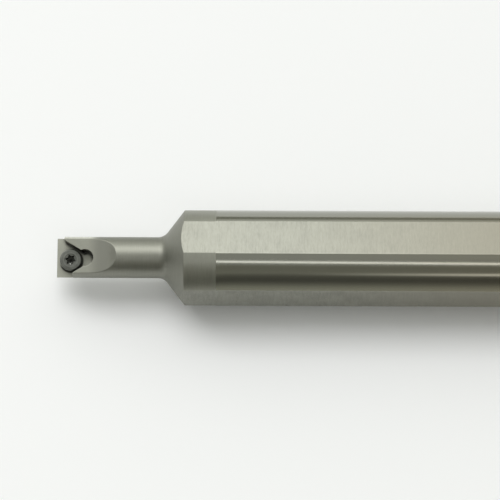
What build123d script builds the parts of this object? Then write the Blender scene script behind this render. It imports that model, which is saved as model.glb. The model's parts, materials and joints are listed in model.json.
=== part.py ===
from build123d import *
import os
from math import radians, sin, tan

# Right-hand internal threading bar for small bores, with the clamp screw of its insert pocket.
# X runs along the bar, with the cutting end towards -X; +Z is the normal of the top flat; the
# cutting side faces -Y. The origin is on the bar's axis, where the ground shank begins.

# Shank
shank_dia = 16.0
shank_length = 98.3
flat_height = 7.4  # from the axis to the top and bottom flats
side_flat_height = 7.5
collar_dia = 15.9  # turned band in front of the ground shank
collar_length = 5.3
end_chamfer = 0.8

# Nose
neck_dia = 6.86
neck_length = 17.92  # from the front face to the foot of the cone
neck_fillet = 2.0
cone_angle = 52.5  # between the cone's side and the axis

# Chip gash, milled across the neck
rake_tilt = 19.5  # the planes of the head lean towards the cutting side
gash_height = 1.9  # above the axis, square to the tilted planes
gash_length = 5.55  # flat stretch behind the front face
gash_cutter_radius = 7.5

# Insert pocket, open at the front and on both sides of the head
pocket_depth = 2.9  # below the gash
wall_angle = 31.0  # between each seating wall and the axis
seat_radius = 2.2  # from the screw's axis to each seating wall
far_wall_start = 1.35  # where the far wall leaves the square shoulder, behind the front face
near_wall_start = 2.75  # the same for the wall on the cutting side
relief_radius = 1.4
relief_behind = 2.45  # corner relief's centre, behind the screw's axis
relief_offset = 0.2  # corner relief's centre, off the screw's axis on the far side
overrun = 2.0  # how far the cuts run out of the metal

# Clamp screw
screw_behind = 2.36  # screw's axis, behind the front face
screw_offset = -0.5  # screw's axis, off the centre line on the cutting side
thread_dia = 2.2
thread_clearance = 0.03
thread_length = 2.3
thread_chamfer = 0.25
head_dia = 3.6
head_rim = 0.45
head_edge = 0.15
head_cone_angle = 30.0  # between the cone's side and the screw's axis
head_gap = 0.1  # between the cone's foot and the pocket's floor
recess_width = 1.75
recess_waist = 1.27
recess_notch_radius = 0.36
recess_rounding = 0.1
recess_depth = 0.75
recess_turn = 19.0

# Derived sizes
shank_radius = shank_dia / 2
collar_radius = collar_dia / 2
neck_radius = neck_dia / 2
thread_radius = thread_dia / 2
head_radius = head_dia / 2
cone_length = (collar_radius - neck_radius) / tan(radians(cone_angle))
cone_foot_x = -collar_length - cone_length
tip_x = cone_foot_x - neck_length
head_cone_height = (head_radius - thread_radius) / tan(radians(head_cone_angle))
head_top = head_gap + head_cone_height + head_rim
reach = neck_radius + overrun

# The tilted planes of the head, with the front face's centre as their origin
head_plane = Plane(Location((tip_x, 0, 0), (rake_tilt, 0, 0)))
gash_section = Plane(head_plane.location * Location((0, 0, 0), (90, 0, 0)))
screw_foot = Location((screw_behind, screw_offset, gash_height - pocket_depth))
floor_plane = Plane(head_plane.location * screw_foot)
screw_section = Plane(floor_plane.location * Location((0, 0, 0), (90, 0, 0)))
screw_axis = Axis(origin=floor_plane.origin, direction=floor_plane.z_dir)

# Where the seating walls stand, seen square to the pocket's floor
wall_slope = tan(radians(wall_angle))
vee_behind = seat_radius / sin(radians(wall_angle))
front = -screw_behind - overrun
far_start = far_wall_start - screw_behind
near_start = near_wall_start - screw_behind
wall_back = (vee_behind - relief_behind) * wall_slope

# Bar: one turned and milled piece of steel
with BuildPart() as bar:
    with BuildSketch(Plane.XZ):
        with BuildLine():
            Polyline(
                (tip_x, 0),
                (tip_x, neck_radius),
                (cone_foot_x, neck_radius),
                (-collar_length, collar_radius),
                (0, collar_radius),
                (0, shank_radius),
                (shank_length - end_chamfer, shank_radius),
                (shank_length, shank_radius - end_chamfer),
                (shank_length, 0),
                close=True,
            )
        make_face()
        fillet(vertices().sort_by_distance((cone_foot_x, neck_radius))[0], neck_fillet)
    revolve(axis=Axis.X)

    # Top, bottom and side flats
    split(bisect_by=Plane.XY.offset(flat_height), keep=Keep.BOTTOM)
    split(bisect_by=Plane.XY.offset(-flat_height), keep=Keep.TOP)
    split(bisect_by=Plane.XZ.offset(side_flat_height), keep=Keep.BOTTOM)

    # Chip gash: a flat, then the cutter's run-out
    with BuildSketch(gash_section):
        with BuildLine():
            Polyline(
                (gash_length, gash_height),
                (-overrun, gash_height),
                (-overrun, gash_height + gash_cutter_radius),
                (gash_length + gash_cutter_radius, gash_height + gash_cutter_radius),
            )
            RadiusArc(
                (gash_length + gash_cutter_radius, gash_height + gash_cutter_radius),
                (gash_length, gash_height),
                gash_cutter_radius,
            )
        make_face()
    extrude(amount=reach, both=True, mode=Mode.SUBTRACT)

    # Insert pocket: two seating walls between their square shoulders and the corner relief
    with BuildSketch(floor_plane):
        with BuildLine():
            Polyline(
                (front, reach),
                (far_start, reach),
                (far_start, (vee_behind - far_start) * wall_slope),
                (relief_behind, wall_back),
                (relief_behind, -wall_back),
                (near_start, -(vee_behind - near_start) * wall_slope),
                (near_start, -reach),
                (front, -reach),
                close=True,
            )
        make_face()
        with Locations((relief_behind, relief_offset)):
            Circle(relief_radius)
    extrude(amount=pocket_depth + reach, mode=Mode.SUBTRACT)

    # Screw hole, through the neck
    with BuildSketch(floor_plane):
        Circle(thread_radius + thread_clearance)
    extrude(amount=-reach, mode=Mode.SUBTRACT)

# Clamp screw: cone head with a six-lobe recess
with BuildPart() as clamp_screw:
    with BuildSketch(screw_section):
        with BuildLine():
            Polyline(
                (0, head_top),
                (head_radius - head_edge, head_top),
                (head_radius, head_top - head_edge),
                (head_radius, head_top - head_rim),
                (thread_radius, head_gap),
                (thread_radius, thread_chamfer - thread_length),
                (thread_radius - thread_chamfer, -thread_length),
                (0, -thread_length),
                close=True,
            )
        make_face()
    revolve(axis=screw_axis)
    with BuildSketch(floor_plane.offset(head_top)):
        Circle(recess_width / 2)
        with PolarLocations(recess_waist / 2 + recess_notch_radius, 6, start_angle=recess_turn):
            Circle(recess_notch_radius, mode=Mode.SUBTRACT)
        fillet(vertices(), recess_rounding)
    extrude(amount=-recess_depth, mode=Mode.SUBTRACT)

bar.part.label = "bar"
clamp_screw.part.label = "clamp_screw"

os.makedirs("parts", exist_ok=True)
export_step(bar.part, "parts/bar.step")
export_step(clamp_screw.part, "parts/clamp_screw.step")
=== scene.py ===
import bpy
import json
import math
from collections import namedtuple
from mathutils import Matrix, Vector


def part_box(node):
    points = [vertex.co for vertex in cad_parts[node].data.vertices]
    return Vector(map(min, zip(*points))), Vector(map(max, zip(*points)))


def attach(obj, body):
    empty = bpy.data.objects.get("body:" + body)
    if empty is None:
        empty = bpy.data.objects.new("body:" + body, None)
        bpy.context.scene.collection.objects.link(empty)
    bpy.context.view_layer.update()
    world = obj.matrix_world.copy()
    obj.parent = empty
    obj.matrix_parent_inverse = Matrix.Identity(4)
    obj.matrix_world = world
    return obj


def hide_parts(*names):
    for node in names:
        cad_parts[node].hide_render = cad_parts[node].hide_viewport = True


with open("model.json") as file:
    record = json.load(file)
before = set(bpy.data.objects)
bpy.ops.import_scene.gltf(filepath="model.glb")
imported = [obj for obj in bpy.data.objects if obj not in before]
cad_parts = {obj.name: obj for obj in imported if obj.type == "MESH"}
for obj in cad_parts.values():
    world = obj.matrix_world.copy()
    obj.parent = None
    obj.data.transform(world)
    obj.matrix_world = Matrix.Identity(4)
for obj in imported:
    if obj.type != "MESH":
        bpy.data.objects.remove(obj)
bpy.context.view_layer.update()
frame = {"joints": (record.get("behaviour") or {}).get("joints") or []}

MM = 0.001

# Places and sizes read from the frame
bar_low, bar_high = (Vector(corner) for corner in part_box("bar"))
TIP_X = bar_low.x
END_X = bar_high.x
TOP_FLAT = bar_high.z
SIDE_FLAT = -bar_low.y
SHANK_R = bar_high.y
SCREW_JOINT = frame["joints"][0]
SCREW_FOOT = Vector(SCREW_JOINT["pos_m"])
SCREW_OUT = Vector(SCREW_JOINT["axis"])
RAKE_TILT = math.asin(-SCREW_OUT.y)

# Turned shape
COLLAR_R = 7.95 * MM
COLLAR_LENGTH = 5.3 * MM
NECK_R = 3.43 * MM
NECK_FILLET = 2.0 * MM
FILLET_STEPS = 14
CONE_ANGLE = math.radians(52.5)
CONE_LENGTH = (COLLAR_R - NECK_R) / math.tan(CONE_ANGLE)
CONE_FOOT_X = -COLLAR_LENGTH - CONE_LENGTH
CORNER_ROUND = 0.16 * MM
CORNER_STEPS = 4
END_CHAMFER = 0.8 * MM
BAR_AROUND = 180

# Milled head, in its own tilted frame; the gash's rounding stays just short of its cutter's top
GASH_HEIGHT = 1.9 * MM
GASH_LENGTH = 5.55 * MM
GASH_CUTTER_R = 7.5 * MM
GASH_END = GASH_LENGTH + GASH_CUTTER_R
GASH_STEPS = 48
SHORT_OF_TOP = 0.999
POCKET_DEPTH = 2.9 * MM
POCKET_FLOOR = GASH_HEIGHT - POCKET_DEPTH
WALL_SLOPE = math.tan(math.radians(31.0))
SEAT_R = 2.2 * MM
FAR_WALL_START = 1.35 * MM
NEAR_WALL_START = 2.75 * MM
RELIEF_R = 1.4 * MM
RELIEF_BEHIND = 2.45 * MM
RELIEF_OFFSET = 0.2 * MM
HOLE_R = 1.13 * MM
DRILL_AROUND = 96
OVERRUN = 2.0 * MM
CUTTER_REACH = NECK_R + OVERRUN

# The bar's edges, welded from a place that is off every plane of symmetry
EDGE_BREAK = 0.02 * MM
EDGE_ANGLE = math.radians(14)
BAR_SMOOTH_ANGLE = math.radians(4.5)
WELD = 0.035 * MM
WELD_FROM = Vector((-31.1, 17.3, 11.7)) * MM
PLANE_TOLERANCE = 0.0001 * MM

# Clamp screw
THREAD_R = 1.1 * MM
THREAD_ROOT_R = 0.86 * MM
THREAD_PITCH = 0.45 * MM
THREAD_LENGTH = 2.3 * MM
THREAD_STEPS = 48
TOOTH_HALF = 0.46 * THREAD_PITCH
TOOTH_SINK = 0.05 * MM
POINT_LENGTH = 0.15 * MM
POINT_R = 0.9 * THREAD_ROOT_R
HEAD_R = 1.8 * MM
HEAD_FOOT = 0.1 * MM
HEAD_CONE = 1.212 * MM
HEAD_RIM = 0.45 * MM
HEAD_TOP = HEAD_FOOT + HEAD_CONE + HEAD_RIM
RIM_ROUND = 0.15 * MM
RIM_STEPS = 6
SCREW_AROUND = 144
SCREW_SMOOTH_ANGLE = math.radians(20)

# Six-lobe recess in the screw's head
RECESS_R = 0.875 * MM
RECESS_WAIST = 0.635 * MM
RECESS_NOTCH_R = 0.36 * MM
RECESS_DEPTH = 0.75 * MM
RECESS_TAPER = 0.94
RECESS_TURN = math.radians(19.0)
LOBE_ANGLE = math.pi / 3
DRILL_POINT = 0.30 * MM
DRILL_TAPER = 0.05
LEAD_IN_R = RECESS_R + 0.12 * MM
LEAD_IN_FOOT_R = RECESS_R + 0.04 * MM
LEAD_IN_DEPTH = 0.05 * MM


def deselect():
    """Leaves object mode with nothing selected."""
    if bpy.context.mode != "OBJECT":
        bpy.ops.object.mode_set(mode="OBJECT")
    bpy.ops.object.select_all(action="DESELECT")


def pick(obj):
    """Selects one object alone and makes it active."""
    deselect()
    obj.select_set(True)
    bpy.context.view_layer.objects.active = obj


def select_where(obj, kind, rule):
    """Selects the edges or faces that meet a rule, and enters edit mode."""
    pick(obj)
    bpy.ops.object.mode_set(mode="EDIT")
    bpy.ops.mesh.select_mode(type=kind)
    bpy.ops.mesh.select_all(action="DESELECT")
    bpy.ops.object.mode_set(mode="OBJECT")
    parts = obj.data.edges if kind == "EDGE" else obj.data.polygons
    for part in parts:
        part.select = rule(part)
    bpy.ops.object.mode_set(mode="EDIT")


def close_shell():
    """In edit mode, turns every face outwards, then leaves edit mode."""
    bpy.ops.mesh.select_all(action="SELECT")
    bpy.ops.mesh.normals_make_consistent(inside=False)
    deselect()


def weld(obj, gap, start):
    """Merges vertices closer than a gap, nearest to a start first, so that every run merges the same."""
    pick(obj)
    bpy.ops.object.mode_set(mode="EDIT")
    bpy.ops.mesh.select_all(action="SELECT")
    cursor = bpy.context.scene.cursor
    cursor.location = start
    bpy.ops.mesh.sort_elements(type="CURSOR_DISTANCE", elements={"VERT", "EDGE", "FACE"})
    cursor.location = (0, 0, 0)
    bpy.ops.mesh.remove_doubles(threshold=gap)
    deselect()


def settle(obj):
    """Moves the object's place into its mesh."""
    pick(obj)
    bpy.ops.object.transform_apply(location=True, rotation=True, scale=True)


def apply_modifier(obj, kind, **settings):
    """Adds a modifier, sets it up and applies it."""
    pick(obj)
    modifier = obj.modifiers.new(kind.lower(), kind)
    for name, value in settings.items():
        setattr(modifier, name, value)
    bpy.ops.object.modifier_apply(modifier=modifier.name)


def cut(obj, cutter):
    """Takes a cutter's shape out of an object and deletes the cutter."""
    settle(cutter)
    apply_modifier(obj, "BOOLEAN", operation="DIFFERENCE", object=cutter, solver="EXACT")
    bpy.data.objects.remove(cutter)


def head_frame(along, across, off):
    """The tilted frame of the head: X along the bar, Y to the far side, Z off the planes."""
    turn = Matrix.Rotation(RAKE_TILT, 4, "X")
    return Matrix.Translation((TIP_X, 0, 0)) @ turn @ Matrix.Translation((along, across, off))


def head_point(point):
    """A point's coordinates in the head's tilted frame."""
    return head_frame(0, 0, 0).inverted() @ Vector(point)


# The screw's foot, from which the pocket is laid out
FOOT = head_point(SCREW_FOOT)
RELIEF_X = FOOT.x + RELIEF_BEHIND


def box_cutter(along, across, off):
    """A box between two places on each axis of the head's frame."""
    middle = [(low + high) / 2 for low, high in (along, across, off)]
    size = [high - low for low, high in (along, across, off)]
    deselect()
    bpy.ops.mesh.primitive_cube_add(size=1)
    cutter = bpy.context.object
    cutter.matrix_world = head_frame(*middle) @ Matrix.Diagonal((*size, 1))
    settle(cutter)
    return cutter


def drill(bar, along, across, middle, radius, depth):
    """A round hole square to the head's planes; middle is its half-way height."""
    deselect()
    bpy.ops.mesh.primitive_cylinder_add(vertices=DRILL_AROUND, radius=radius, depth=depth)
    cutter = bpy.context.object
    cutter.matrix_world = head_frame(along, across, middle)
    cut(bar, cutter)


def turned(name, stations, around):
    """A round piece about X, turned through stations of (x, radius), closed at both ends."""
    (start, first_radius), *later = stations
    deselect()
    bpy.ops.mesh.primitive_circle_add(vertices=around, radius=first_radius, fill_type="NGON",
                                      location=(start, 0, 0), rotation=(0, -math.pi / 2, 0))
    piece = bpy.context.object
    piece.name = name
    settle(piece)
    bpy.ops.object.mode_set(mode="EDIT")
    x_before, r_before = start, first_radius
    for x, r in later:
        bpy.ops.mesh.extrude_region_move(TRANSFORM_OT_translate={"value": (x - x_before, 0, 0)})
        grow = r / r_before
        bpy.ops.transform.resize(value=(1, grow, grow), center_override=(x, 0, 0))
        x_before, r_before = x, r
    close_shell()
    return piece


def bar_stations():
    """Neck, fillet, cone, rounded corner, collar and shank as stations of (x, radius)."""
    stations = [(TIP_X, NECK_R)]
    fillet_x = CONE_FOOT_X - NECK_FILLET * math.tan(CONE_ANGLE / 2)
    for step in range(FILLET_STEPS + 1):
        turn = CONE_ANGLE * step / FILLET_STEPS
        rise = NECK_FILLET * (1 - math.cos(turn))
        stations.append((fillet_x + NECK_FILLET * math.sin(turn), NECK_R + rise))
    corner_x = -COLLAR_LENGTH + CORNER_ROUND * math.tan(CONE_ANGLE / 2)
    for step in range(CORNER_STEPS + 1):
        turn = CONE_ANGLE * (1 - step / CORNER_STEPS)
        drop = CORNER_ROUND * (1 - math.cos(turn))
        stations.append((corner_x - CORNER_ROUND * math.sin(turn), COLLAR_R - drop))
    stations += [(-EDGE_BREAK, COLLAR_R), (0, SHANK_R),
                 (END_X - END_CHAMFER, SHANK_R), (END_X, SHANK_R - END_CHAMFER)]
    return stations


def cut_flats(bar):
    """The shank's top, bottom and near flats."""
    pick(bar)
    bpy.ops.object.mode_set(mode="EDIT")
    for height, normal in ((TOP_FLAT, (0, 0, 1)), (TOP_FLAT, (0, 0, -1)), (SIDE_FLAT, (0, -1, 0))):
        bpy.ops.mesh.select_all(action="SELECT")
        bpy.ops.mesh.bisect(plane_co=Vector(normal) * height, plane_no=normal, use_fill=True,
                            clear_outer=True, threshold=PLANE_TOLERANCE)
    deselect()


def cut_gash(bar):
    """Chip gash: a flat across the neck that runs out in the cutter's radius."""
    cutter = box_cutter((-OVERRUN, GASH_END), (-CUTTER_REACH, CUTTER_REACH),
                        (GASH_HEIGHT, GASH_HEIGHT + GASH_CUTTER_R))

    def at_run_out(edge):
        ends = [head_point(cutter.data.vertices[index].co) for index in edge.vertices]
        return all(abs(end.x - GASH_END) < EDGE_BREAK and abs(end.z - GASH_HEIGHT) < EDGE_BREAK
                   for end in ends)

    select_where(cutter, "EDGE", at_run_out)
    bpy.ops.mesh.bevel(offset=GASH_CUTTER_R * SHORT_OF_TOP, segments=GASH_STEPS, affect="EDGES")
    deselect()
    cut(bar, cutter)


def cut_pocket(bar):
    """Insert pocket: two seating walls with square shoulders, opening towards the nose."""
    corner = FOOT.x + SEAT_R / math.sin(math.atan(WALL_SLOPE))
    far_edge = FOOT.y + (corner - FAR_WALL_START) * WALL_SLOPE
    near_edge = FOOT.y - (corner - NEAR_WALL_START) * WALL_SLOPE
    opening = (corner - RELIEF_X) * WALL_SLOPE
    outline = ((-OVERRUN, -CUTTER_REACH), (NEAR_WALL_START, -CUTTER_REACH),
               (NEAR_WALL_START, near_edge),
               (RELIEF_X, FOOT.y - opening), (RELIEF_X, FOOT.y + opening),
               (FAR_WALL_START, far_edge),
               (FAR_WALL_START, CUTTER_REACH), (-OVERRUN, CUTTER_REACH))
    deselect()
    bpy.ops.mesh.primitive_circle_add(vertices=len(outline), radius=CUTTER_REACH, fill_type="NGON")
    pocket = bpy.context.object
    for vertex, (along, across) in zip(pocket.data.vertices, outline):
        vertex.co = head_frame(along, across, POCKET_FLOOR).translation
    rise = head_frame(0, 0, 0).to_3x3() @ Vector((0, 0, CUTTER_REACH))
    bpy.ops.object.mode_set(mode="EDIT")
    bpy.ops.mesh.select_all(action="SELECT")
    bpy.ops.mesh.extrude_region_move(TRANSFORM_OT_translate={"value": rise})
    close_shell()
    cut(bar, pocket)


def make_bar():
    """The bar: turned, milled and drilled, with its edges broken."""
    bar = turned("bar_body", bar_stations(), BAR_AROUND)
    cut_flats(bar)
    cut_gash(bar)
    cut_pocket(bar)
    drill(bar, RELIEF_X, FOOT.y + RELIEF_OFFSET, POCKET_FLOOR + CUTTER_REACH / 2, RELIEF_R, CUTTER_REACH)
    drill(bar, FOOT.x, FOOT.y, -NECK_R, HOLE_R, 2 * NECK_R + 2 * OVERRUN)
    weld(bar, WELD, WELD_FROM)
    apply_modifier(bar, "BEVEL", width=EDGE_BREAK, segments=2, limit_method="ANGLE",
                   angle_limit=EDGE_ANGLE, use_clamp_overlap=False)
    pick(bar)
    bpy.ops.object.shade_smooth_by_angle(angle=BAR_SMOOTH_ANGLE)
    return bar


def recess_radius(turn):
    """Radius of the six-lobe recess at an angle from one of its waists."""
    off = (turn + LOBE_ANGLE / 2) % LOBE_ANGLE - LOBE_ANGLE / 2
    notch = RECESS_WAIST + RECESS_NOTCH_R
    under = RECESS_NOTCH_R ** 2 - (notch * math.sin(off)) ** 2
    if under <= 0:
        return RECESS_R
    return min(RECESS_R, notch * math.cos(off) - math.sqrt(under))


def recess_cutter():
    """The recess's shape, from above the head down to a drill point."""
    deselect()
    bpy.ops.mesh.primitive_circle_add(vertices=SCREW_AROUND, radius=RECESS_R, fill_type="NGON")
    cutter = bpy.context.object
    for vertex in cutter.data.vertices:
        turn = math.atan2(vertex.co.y, vertex.co.x)
        radius = recess_radius(turn - RECESS_TURN)
        vertex.co = (radius * math.cos(turn), radius * math.sin(turn), HEAD_TOP + HEAD_RIM)
    bpy.ops.object.mode_set(mode="EDIT")
    bpy.ops.mesh.select_all(action="SELECT")
    for drop, grow in ((HEAD_RIM + RECESS_DEPTH, RECESS_TAPER), (DRILL_POINT, DRILL_TAPER)):
        bpy.ops.mesh.extrude_region_move(TRANSFORM_OT_translate={"value": (0, 0, -drop)})
        bpy.ops.transform.resize(value=(grow, grow, 1))
    close_shell()
    return cutter


def screw_thread():
    """A V thread about Z: one tooth's section, swept along the screw's pitch."""
    deselect()
    bpy.ops.mesh.primitive_circle_add(vertices=3, radius=TOOTH_HALF, fill_type="NGON")
    tooth = bpy.context.object
    root = THREAD_ROOT_R - TOOTH_SINK
    section = ((root, -TOOTH_HALF), (THREAD_R, 0), (root, TOOTH_HALF))
    for vertex, (radius, height) in zip(tooth.data.vertices, section):
        vertex.co = (radius, 0, height - THREAD_LENGTH + THREAD_PITCH)
    turns = int(THREAD_LENGTH / THREAD_PITCH) - 1
    apply_modifier(tooth, "SCREW", axis="Z", screw_offset=THREAD_PITCH, iterations=turns,
                   steps=THREAD_STEPS, render_steps=THREAD_STEPS, use_smooth_shade=False)
    return tooth


def screw_stations():
    """Point, core, cone head, rounded rim and the recess's lead-in as stations of (x, radius)."""
    stations = [(-THREAD_LENGTH, POINT_R), (POINT_LENGTH - THREAD_LENGTH, THREAD_ROOT_R),
                (HEAD_FOOT / 2, THREAD_ROOT_R), (HEAD_FOOT, THREAD_R),
                (HEAD_FOOT + HEAD_CONE, HEAD_R), (HEAD_TOP - RIM_ROUND, HEAD_R)]
    for step in range(1, RIM_STEPS + 1):
        turn = math.pi / 2 * step / RIM_STEPS
        stations.append((HEAD_TOP - RIM_ROUND + RIM_ROUND * math.sin(turn),
                         HEAD_R - RIM_ROUND + RIM_ROUND * math.cos(turn)))
    return stations + [(HEAD_TOP, LEAD_IN_R), (HEAD_TOP - LEAD_IN_DEPTH, LEAD_IN_FOOT_R)]


def make_clamp_screw():
    """The clamp screw: turned about X, stood up along Z, recessed, threaded, and put in its hole."""
    screw = turned("clamp_screw_body", screw_stations(), SCREW_AROUND)
    pick(screw)
    screw.rotation_euler = (0, -math.pi / 2, 0)
    settle(screw)
    cut(screw, recess_cutter())
    thread = screw_thread()
    pick(screw)
    thread.select_set(True)
    bpy.ops.object.join()
    screw.matrix_world = head_frame(*FOOT)
    settle(screw)
    bpy.ops.object.shade_smooth_by_angle(angle=SCREW_SMOOTH_ANGLE)
    return screw


# How finely and how far the nodes look for corners
CORNER_SAMPLES = 8
SKY_REACH = 0.9 * MM


class Socket:
    """A node's output. Its operators add Math nodes, so an expression on numbers reads as Python."""

    def __init__(self, output):
        self.output = output

    def _join(self, operation, first, second):
        return NodeSet(self.output.node.id_data).math(operation, first, second)

    def __add__(self, other):
        return self._join("ADD", self, other)

    def __sub__(self, other):
        return self._join("SUBTRACT", self, other)

    def __rsub__(self, other):
        return self._join("SUBTRACT", other, self)

    def __mul__(self, other):
        return self._join("MULTIPLY", self, other)

    __radd__ = __add__
    __rmul__ = __mul__


class NodeSet:
    """The nodes of one material or world."""

    def __init__(self, tree):
        self.tree = tree

    def add(self, kind, settings=None, inputs=None, output=0):
        """Adds a node, sets it up, sets or links its inputs, and returns one of its outputs.

        A ramp's stops are a setting: pairs of a place and a colour."""
        node = self.tree.nodes.new("ShaderNode" + kind)
        for name, value in (settings or {}).items():
            if name == "stops":
                node.color_ramp.elements.remove(node.color_ramp.elements[1])
                node.color_ramp.elements[0].color = value[0][1]
                for place, shade in value[1:]:
                    node.color_ramp.elements.new(place).color = shade
            else:
                setattr(node, name, value)
        for name, value in (inputs or {}).items():
            if isinstance(value, Socket):
                self.tree.links.new(value.output, node.inputs[name])
            else:
                node.inputs[name].default_value = value
        return Socket(node.outputs[output])

    def math(self, operation, first, second):
        """Two numbers joined into one."""
        return self.add("Math", {"operation": operation}, {0: first, 1: second})

    def vector(self, operation, *values, output="Vector"):
        """Vector Math; a length, distance or dot product comes out as Value."""
        return self.add("VectorMath", {"operation": operation}, dict(enumerate(values)), output)

    def part(self, vector, axis):
        """One component of a vector."""
        return self.add("SeparateXYZ", {}, {0: vector}, output=axis)

    def position(self):
        """A place on the piece, in object coordinates."""
        return self.add("TexCoord", output="Object")

    def step(self, value, low, high):
        """0 below low, 1 above high, smooth between."""
        settings = {"interpolation_type": "SMOOTHSTEP"}
        return self.add("MapRange", settings, {"Value": value, "From Min": low, "From Max": high})

    def stretched_noise(self, position, scale, detail, shift=0.0):
        """Noise about 0, with its own number of waves per millimetre along each axis."""
        grid = [waves / MM for waves in scale]
        place = self.vector("MULTIPLY_ADD", position, grid, (shift, shift, shift))
        return self.add("TexNoise", {}, {"Vector": place, "Scale": 1.0, "Detail": detail}) - 0.5

    def open_sky(self):
        """How open a place is: 1 in the open, towards 0 in a narrow corner."""
        settings = {"samples": CORNER_SAMPLES}
        return self.add("AmbientOcclusion", settings, {"Distance": SKY_REACH}, output="AO")

    def blend(self, factor, first, second):
        """Mixes two colours."""
        settings = {"data_type": "RGBA", "clamp_factor": True}
        colour_result = 2
        return self.add("Mix", settings, {0: factor, 6: first, 7: second}, output=colour_result)


def colour(red, green, blue):
    """An opaque colour."""
    return (red, green, blue, 1.0)


def new_material(name, **constants):
    """A material with the Principled BSDF's fixed values set on its own sockets."""
    material = bpy.data.materials.new(name)
    material.use_nodes = True
    shader = material.node_tree.nodes["Principled BSDF"]
    for socket, value in constants.items():
        shader.inputs[socket.replace("_", " ")].default_value = value
    return material, NodeSet(material.node_tree), shader


def feed(material, shader, **sockets):
    """Links varying values to the shader's sockets."""
    for name, value in sockets.items():
        material.node_tree.links.new(value.output, shader.inputs[name.replace("_", " ")])


# Steel: its colour at the nose, and the warmer one that it takes on towards the rear
STEEL = (0.343, 0.345, 0.300)
STRAW = (0.343, 0.326, 0.266)
REAR = (5 * MM, 60 * MM)
REAR_CALM = 0.8
DARK_MARK = 0.80
PALE_MARK = 1.20
MARK_DETAIL = 3.0
FINE_WAVES = 3.7
FINE_DETAIL = 2.0
FINE_SHIFT = 7.3
FINE_HEIGHT = 0.5
CLOUD_WAVES = (0.35, 0.35, 0.35)
CLOUD_SHIFT = 3.1

# Where the painted highlight, painted shade and painted shadow lie on the bar, each as the two places
# between which it fades in or out
LIP_RISE = (0.5 * MM, 0.9 * MM)
LIP_SIDE = (2.0 * MM, 2.2 * MM)
LIP_END = (TIP_X + 5.2 * MM, TIP_X + 7.5 * MM)
RUN_OUT_START = (TIP_X + 5.0 * MM, TIP_X + 7.2 * MM)
RUN_OUT_END = (TIP_X + 7.3 * MM, TIP_X + 9.6 * MM)
SHADED_FAR_SIDE = (3.9 * MM, 5.0 * MM)
SHADOW_RING = (1.9 * MM, 2.15 * MM)
SHADOW_REAR = (-1.7 * MM, -0.5 * MM)
SHADOW_REAR_WAY = (0.8, -0.6, 0.0)
SHADOW_SKY = (0.55, 0.92)
SHADOW_FAR = (-0.4 * MM, 0.7 * MM)


def tone(factor, metal=STEEL):
    """A metal's colour, lighter or darker by a factor."""
    return colour(*(channel * factor for channel in metal))


def from_screw(nodes, position, direction):
    """How far a place is from the screw's foot in one direction."""
    arm = nodes.vector("SUBTRACT", position, SCREW_FOOT)
    return nodes.vector("DOT_PRODUCT", arm, direction, output="Value")


def off_screw_axis(nodes, position):
    """Distance from the screw's axis."""
    arm = nodes.vector("SUBTRACT", position, SCREW_FOOT)
    side = nodes.vector("CROSS_PRODUCT", arm, SCREW_OUT)
    return nodes.vector("LENGTH", side, output="Value")


def far_lip_highlight(nodes, position):
    """1 on the lip behind the gash's far edge, fading towards the run-out: a painted highlight, and
    smoother there.
    """
    off_planes = (0, -math.sin(RAKE_TILT), math.cos(RAKE_TILT))
    rise = nodes.vector("DOT_PRODUCT", position, off_planes, output="Value")
    lip = nodes.step(rise, *LIP_RISE) * nodes.step(nodes.part(position, "Y"), *LIP_SIDE)
    return lip * (1 - nodes.step(nodes.part(position, "X"), *LIP_END))


def run_out_shade(nodes, position):
    """1 across the band where the gash starts to rise, darkened there as painted shade."""
    along = nodes.part(position, "X")
    return nodes.step(along, *RUN_OUT_START) * (1 - nodes.step(along, *RUN_OUT_END))


def far_side_shade(nodes, position):
    """1 on the shank's far side, which is painted darker as shade."""
    return nodes.step(nodes.part(position, "Y"), *SHADED_FAR_SIDE)


def pocket_painted_shadow(nodes, position):
    """1 where painted shadow keeps the pocket floor dark: round the screw and under the far wall."""
    ring = 1 - nodes.step(off_screw_axis(nodes, position), *SHADOW_RING)
    ring = ring * nodes.step(from_screw(nodes, position, SHADOW_REAR_WAY), *SHADOW_REAR)
    to_far_wall = (0, math.cos(RAKE_TILT), math.sin(RAKE_TILT))
    across = from_screw(nodes, position, to_far_wall)
    # Painted shadow at the foot of the far wall, where the corner is narrow
    corner = (1 - nodes.step(nodes.open_sky(), *SHADOW_SKY)) * nodes.step(across, *SHADOW_FAR)
    return nodes.math("MAXIMUM", ring, corner)


# A part of a surface with its own look, used here for painted highlight and painted shade: how far it
# covers the rest, and how much smoother it is
Patch = namedtuple("Patch", "mask cover tint polish", defaults=(0.0,))


def steel(name, grain, depth, roughness, tint, mottle, spread=0.10, edge=0.0, patch=None):
    """Bare steel with fine marks: grain is their waves per mm along each axis, depth and edge are mm."""
    material, nodes, shader = new_material(name, Metallic=1.0)
    position = nodes.position()
    marks = nodes.stretched_noise(position, grain, MARK_DETAIL)
    fine_grain = [waves * FINE_WAVES for waves in grain]
    fine = nodes.stretched_noise(position, fine_grain, FINE_DETAIL, shift=FINE_SHIFT)
    cloud = nodes.stretched_noise(position, CLOUD_WAVES, MARK_DETAIL, shift=CLOUD_SHIFT)
    rear = nodes.step(nodes.part(position, "X"), *REAR)
    shade = (marks + fine + cloud) * mottle * (1 - rear * REAR_CALM) + 0.5
    pale, warm = (nodes.blend(shade, tone(tint * DARK_MARK, metal), tone(tint * PALE_MARK, metal))
                  for metal in (STEEL, STRAW))
    base = nodes.blend(rear, pale, warm)
    rough = marks * spread + cloud * spread + roughness
    if patch:
        cover = patch.mask(nodes, position) * patch.cover
        base = nodes.blend(cover, base, tone(patch.tint))
        rough = rough - cover * patch.polish
    relief = {"Height": marks + fine * FINE_HEIGHT, "Distance": depth * MM, "Strength": 1.0}
    if edge:
        relief["Normal"] = nodes.add("Bevel", {"samples": CORNER_SAMPLES}, {"Radius": edge * MM})
    bump = nodes.add("Bump", {}, relief)
    feed(material, shader, Base_Color=base, Roughness=rough, Normal=bump)
    return material


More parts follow.
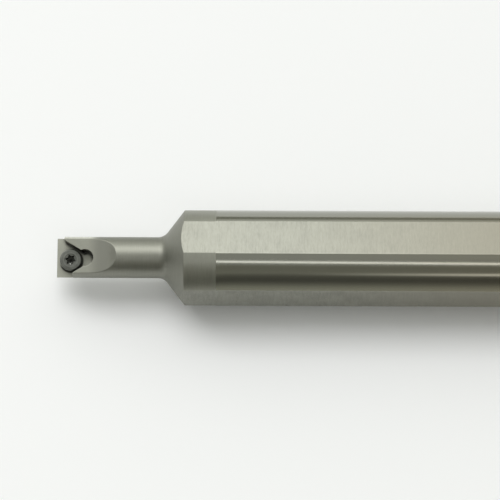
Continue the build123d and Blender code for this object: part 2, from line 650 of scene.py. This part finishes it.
# The bar's finishes: a lathe marks along X, a grinding wheel across the flats, a mill evenly
MILL_GRAIN = (2.0, 2.0, 2.0)
# The turned neck has a painted highlight on the lip behind the gash's far edge
turned_steel = steel("turned_steel", grain=(6.0, 0.3, 0.3), depth=0.0012, roughness=0.46,
                     tint=0.805, mottle=0.5, edge=0.2,
                     patch=Patch(far_lip_highlight, cover=1.0, tint=1.9, polish=0.2))
collar_steel = steel("collar_steel", grain=(4.0, 0.3, 0.3), depth=0.0012, roughness=0.42,
                     tint=0.97, mottle=0.5)
# Ground steel has painted shade on the shank's far side
ground_steel = steel("ground_steel", grain=(9.0, 0.25, 0.25), depth=0.0004, roughness=0.13,
                     tint=1.0, mottle=0.10, spread=0.05,
                     patch=Patch(far_side_shade, cover=0.9, tint=0.87))
flat_steel = steel("cross_ground_steel", grain=(3.0, 0.45, 0.45), depth=0.0012, roughness=0.38,
                   tint=0.76, mottle=1.25)
# Milled steel has painted shade across the band where the gash's run-out starts to rise
milled_steel = steel("milled_steel", MILL_GRAIN, depth=0.0010, roughness=0.44,
                     tint=0.98, mottle=0.3, edge=0.1,
                     patch=Patch(run_out_shade, cover=1.0, tint=0.706))
# The pocket's walls: milled steel painted dark as shade
pocket_wall_painted_shade = steel("pocket_wall_painted_shade", MILL_GRAIN, depth=0.0010, roughness=0.35,
                     tint=0.38, mottle=0.3, edge=0.05)
# The pocket floor: milled steel painted lighter to stand in for light, with painted shadow round the
# screw and under the far wall
seat_painted_light_and_shadow = steel("seat_painted_light_and_shadow", MILL_GRAIN, depth=0.0010, roughness=0.44,
                   tint=1.15, mottle=0.3, edge=0.05,
                   patch=Patch(pocket_painted_shadow, cover=0.93, tint=0.10))

# Limits for telling the bar's faces apart
ON_PLANE = 0.001 * MM
UNDER_SKIN = 0.04 * MM
CLEAR_OF_CONE = 3 * MM
FACES_ALONG = 0.9
SQUARE_ON = 0.99
QUITE_SQUARE_ON = 0.999
ROUND_ABOUT = 0.5


def on_collar(face):
    """The collar's round face."""
    return -COLLAR_LENGTH < face.center.x < 0 and abs(face.normal.x) < ROUND_ABOUT


def on_shank(face):
    """Everything behind the collar."""
    return face.center.x > 0


def on_flat(face):
    """The top, bottom and near flats."""
    level = abs(face.center.z) > TOP_FLAT - ON_PLANE and abs(face.normal.z) > QUITE_SQUARE_ON
    upright = face.center.y < -SIDE_FLAT + ON_PLANE and face.normal.y < -QUITE_SQUARE_ON
    return level or upright


def on_head_cut(face):
    """All that is cut into the neck, with the nose's end face."""
    inside = math.hypot(face.center.y, face.center.z) < NECK_R - UNDER_SKIN
    before_cone = face.center.x < CONE_FOOT_X - CLEAR_OF_CONE
    along = head_point(face.center).x
    return along < GASH_END and before_cone and (inside or abs(face.normal.x) > FACES_ALONG)


def in_pocket(face):
    """What lies below the gash, but for the outer faces that look along the bar."""
    place = head_point(face.center)
    faces_out = abs(face.normal.x) > SQUARE_ON and place.x < FOOT.x
    return on_head_cut(face) and place.z < GASH_HEIGHT - EDGE_BREAK and not faces_out


def on_seat(face):
    """The pocket's floor."""
    return in_pocket(face) and face.normal.dot(SCREW_OUT) > SQUARE_ON


def paint_faces(piece, material, rule):
    """Adds a material to a piece and gives it to the faces that meet a rule."""
    piece.data.materials.append(material)
    select_where(piece, "FACE", rule)
    piece.active_material_index = len(piece.data.materials) - 1
    bpy.ops.object.material_slot_assign()
    deselect()


bar = make_bar()
bar.data.materials.append(turned_steel)
paint_faces(bar, collar_steel, on_collar)
paint_faces(bar, ground_steel, on_shank)
paint_faces(bar, flat_steel, on_flat)
paint_faces(bar, milled_steel, on_head_cut)
paint_faces(bar, pocket_wall_painted_shade, in_pocket)
paint_faces(bar, seat_painted_light_and_shadow, on_seat)
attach(bar, "bar")
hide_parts("bar")

# The screw's oxide skin, with painted shade in its recess and a painted glint at its near edge
OXIDE_DARK = colour(0.100, 0.104, 0.092)
OXIDE_PALE = colour(0.210, 0.214, 0.196)
RECESS_PAINTED_SHADE = colour(0.012, 0.012, 0.010)
OXIDE_WAVES = (1.6, 1.6, 1.6)
RING_WAVES = (3.2, 1.0, 1.0)
RING_SHARE = 3.0
RING_DETAIL = 1.0
OXIDE_DEPTH = 0.004 * MM
OXIDE_ROUGHNESS = 0.40
OXIDE_SPREAD = 0.2
SOCKET_SKY = (0.40, 0.92)
# A painted glint on the recess's near edge: its colour, place and size
PAINTED_GLINT = colour(0.90, 0.91, 0.88)
GLINT_SHIFT = 0.03 * MM
GLINT_SPOT = head_frame(FOOT.x + GLINT_SHIFT, FOOT.y - RECESS_WAIST, FOOT.z + HEAD_TOP).translation
GLINT_EDGE = (0.10 * MM, 0.21 * MM)


def oxide_skin():
    """Dull oxide with faint turning rings, near-black painted shade in the recess, and a painted glint
    at its near edge.
    """
    material, nodes, shader = new_material("screw_steel", Metallic=1.0)
    position = nodes.position()
    mottle = nodes.stretched_noise(position, OXIDE_WAVES, MARK_DETAIL)
    reach = nodes.add("CombineXYZ", {}, {"X": off_screw_axis(nodes, position)})
    rings = nodes.stretched_noise(reach, RING_WAVES, RING_DETAIL)
    skin = nodes.blend(mottle + rings * RING_SHARE + 0.5, OXIDE_DARK, OXIDE_PALE)
    # Painted shade: near black in the recess, where it is narrow
    skin = nodes.blend(nodes.step(nodes.open_sky(), *SOCKET_SKY), RECESS_PAINTED_SHADE, skin)
    # Painted glint at the recess's near waist
    off_glint = nodes.vector("DISTANCE", position, GLINT_SPOT, output="Value")
    skin = nodes.blend(1 - nodes.step(off_glint, *GLINT_EDGE), skin, PAINTED_GLINT)
    rough = mottle * OXIDE_SPREAD + OXIDE_ROUGHNESS
    relief = {"Height": mottle + rings, "Distance": OXIDE_DEPTH, "Strength": 1.0}
    bump = nodes.add("Bump", {}, relief)
    feed(material, shader, Base_Color=skin, Roughness=rough, Normal=bump)
    return material


screw = make_clamp_screw()
screw.data.materials.append(oxide_skin())
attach(screw, "screw")
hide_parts("clamp_screw")

# Floor
FLOOR_SIZE = 4
deselect()
bpy.ops.mesh.primitive_plane_add(size=FLOOR_SIZE, location=(0, 0, -TOP_FLAT))
floor = bpy.context.object
floor.name = "floor"
settle(floor)
paper, _, shader = new_material("paper", Roughness=0.9)
shader.inputs["Base Color"].default_value = colour(0.953, 0.955, 0.967)
floor.data.materials.append(paper)

# Camera, which looks down at the bar from in front
VIEW_TILT = math.radians(28.0)
VIEW_DISTANCE = 350 * MM
VIEW_ROLL = math.radians(0.27)
PIXELS_PER_MM = 5.985
FRAME_PIXELS = 500
SENSOR_WIDTH = 36
AIM_X = 5.58 * MM
AIM_UP = 1.36 * MM
camera_data = bpy.data.cameras.new("camera")
camera = bpy.data.objects.new("camera", camera_data)
bpy.context.scene.collection.objects.link(camera)
camera_data.sensor_width = SENSOR_WIDTH
camera_data.lens = SENSOR_WIDTH * VIEW_DISTANCE / (FRAME_PIXELS / PIXELS_PER_MM * MM)
camera_data.clip_start = 10 * MM
aim = Vector((AIM_X, AIM_UP * math.cos(VIEW_TILT), AIM_UP * math.sin(VIEW_TILT)))
out = Vector((0, -math.sin(VIEW_TILT), math.cos(VIEW_TILT)))
camera.matrix_world = (Matrix.Translation(aim + out * VIEW_DISTANCE)
                       @ Matrix.Rotation(VIEW_TILT, 4, "X") @ Matrix.Rotation(VIEW_ROLL, 4, "Z"))
bpy.context.scene.camera = camera

# Room light: levels, and the directions between which each comes in
LOW_LEVEL = 0.62
UPPER_DROP = 0.23
UPPER = (0.2, 0.4)
CEILING_LEVEL = 0.11
CEILING = (0.80, 0.90)
OVERHEAD_LEVEL = 0.42
OVERHEAD = (0.97, 1.0)
BACK_WALL_LEVEL = 0.66
BACK_WALL = (0.1, 0.6)
BACK_WALL_FOOT = (0.15, 0.4)
TIP_WALL_DROP = 0.12
TIP_WALL = (-0.9, -0.2)
world = bpy.data.worlds.new("world")
bpy.context.scene.world = world
world.use_nodes = True
room = NodeSet(world.node_tree)
direction = room.add("TexCoord", output="Generated")
up = room.part(direction, "Z")
ceiling = room.step(up, *CEILING) * CEILING_LEVEL + room.step(up, *OVERHEAD) * OVERHEAD_LEVEL
back_wall = room.step(room.part(direction, "Y"), *BACK_WALL) * room.step(up, *BACK_WALL_FOOT)
tip_wall = 1 - room.step(room.part(direction, "X"), *TIP_WALL)
level = (LOW_LEVEL - room.step(up, *UPPER) * UPPER_DROP + ceiling
         + back_wall * BACK_WALL_LEVEL - tip_wall * TIP_WALL_DROP)
background = world.node_tree.nodes["Background"]
background.inputs["Color"].default_value = colour(0.98, 1.0, 0.94)
world.node_tree.links.new(level.output, background.inputs["Strength"])


def softbox(name, side, front, distance, size, radiance, twist=0.0):
    """A lamp facing the bar: side and front are its angles off the zenith, in degrees."""
    data = bpy.data.lights.new(name, "AREA")
    data.shape = "RECTANGLE"
    data.size, data.size_y = size
    data.energy = radiance * math.pi * size[0] * size[1]
    lamp = bpy.data.objects.new(name, data)
    bpy.context.scene.collection.objects.link(lamp)
    lean = Matrix.Rotation(math.radians(front), 4, "X") @ Matrix.Rotation(math.radians(side), 4, "Y")
    place = Matrix.Translation((0, 0, distance)) @ Matrix.Rotation(math.radians(twist), 4, "Z")
    lamp.matrix_world = lean @ place


softbox("softbox", side=-19, front=-20, distance=1.2, size=(1.30, 0.70), radiance=2.42)
softbox("strip", side=0, front=36.5, distance=0.8, size=(1.2, 0.060), radiance=1.75, twist=-12)

# Cards for the steel to reflect: shades are pairs of a height in mm and a grey level
CARD_WARMTH = 0.86
CARD_HALF_LENGTH = 1
FRONT_SHADES = ((-7.4, 0.46), (-3.9, 0.42), (-1.0, 0.36), (3.4, 0.20), (6.9, 0.115), (9.3, 0.115),
                (12.4, 0.14), (15.1, 0.20), (18.0, 0.30), (21.2, 0.28), (24.8, 0.27), (28.9, 0.26),
                (33.1, 0.34))
BACK_SHADES = ((0.0, 0.34), (112.0, 0.34))
SILL = 16.3 * MM
SILL_HALF = 2.8 * MM
SILL_ALONG = (10 * MM, 60 * MM)
SILL_LIGHT = colour(1.40, 1.38, 1.30)
NOSE = (-8 * MM, 2 * MM)
NOSE_DROP = 5.5 * MM


def card(name, y, shades, with_sill=False):
    """An upright card along the bar, seen only in reflections.

    With a sill, it has a pale line that grows towards the rear, and its shades drop at the nose."""
    low, high = shades[0][0] * MM, shades[-1][0] * MM
    deselect()
    bpy.ops.mesh.primitive_plane_add(size=1)
    sheet = bpy.context.object
    sheet.name = name
    corners = ((-CARD_HALF_LENGTH, y, low), (CARD_HALF_LENGTH, y, low),
               (-CARD_HALF_LENGTH, y, high), (CARD_HALF_LENGTH, y, high))
    for vertex, corner in zip(sheet.data.vertices, corners):
        vertex.co = corner
    material = bpy.data.materials.new(name)
    material.use_nodes = True
    nodes = NodeSet(material.node_tree)
    position = nodes.position()
    along = nodes.part(position, "X")
    height = nodes.part(position, "Z")
    if with_sill:
        height = height + (1 - nodes.step(along, *NOSE)) * NOSE_DROP
    stops = [((at * MM - low) / (high - low), colour(grey, grey, grey * CARD_WARMTH))
             for at, grey in shades]
    shade = nodes.add("ValToRGB", {"stops": stops}, {0: (height - low) * (1 / (high - low))})
    if with_sill:
        under = nodes.step(height, SILL - SILL_HALF, SILL)
        over = nodes.step(height, SILL, SILL + SILL_HALF)
        line = under * (1 - over) * nodes.step(along, *SILL_ALONG)
        shade = nodes.blend(line, shade, SILL_LIGHT)
    glow = nodes.add("Emission", {}, {"Color": shade, "Strength": 1.0})
    surface = material.node_tree.nodes["Material Output"].inputs["Surface"]
    material.node_tree.links.new(glow.output, surface)
    sheet.data.materials.append(material)
    sheet.visible_camera = False
    sheet.visible_diffuse = False
    sheet.visible_shadow = False


card("front_card", y=-0.030, shades=FRONT_SHADES, with_sill=True)
card("back_card", y=0.6, shades=BACK_SHADES)

bpy.context.scene.view_settings.view_transform = "Standard"
